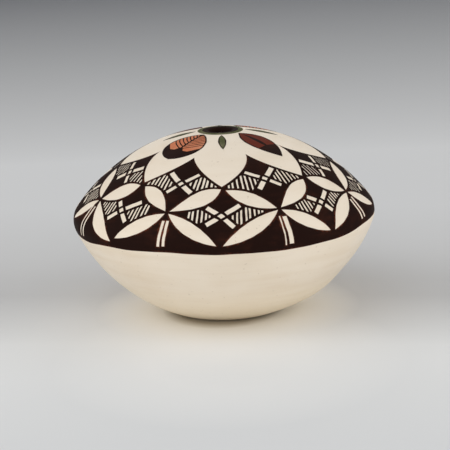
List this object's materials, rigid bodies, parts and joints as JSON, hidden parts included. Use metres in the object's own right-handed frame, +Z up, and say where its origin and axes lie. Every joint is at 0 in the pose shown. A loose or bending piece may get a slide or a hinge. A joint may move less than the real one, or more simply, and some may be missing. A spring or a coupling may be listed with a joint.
{
  "type": "pueblo pottery jar",
  "caption": "Low coil-built clay seed jar with a domed top, a round shoulder, a small mouth hole and a dished foot, coated in white slip, for keeping seeds or for display.",
  "frame": {"origin": "centre of the foot, on the surface that the jar stands on", "axes": "+Z up along the jar's axis of turning, through the mouth; the pictured side faces -Y"},
  "size_m": [0.09, 0.09, 0.0544],
  "materials": {
    "fired_clay": "bare fired clay, matt and slightly gritty",
    "white_slip": "stone-polished white slip, soft satin"
  },
  "bodies": {
    "root": {"base_pat": "fired_clay", "wall_coil_1": "fired_clay", "wall_coil_2": "fired_clay", "wall_coil_3": "fired_clay", "belly_coil": "fired_clay", "dome_coil_1": "fired_clay", "dome_coil_2": "fired_clay", "dome_coil_3": "fired_clay", "dome_coil_4": "fired_clay", "mouth_coil": "fired_clay", "slip_coat": "white_slip"}
  },
  "joints": []
}
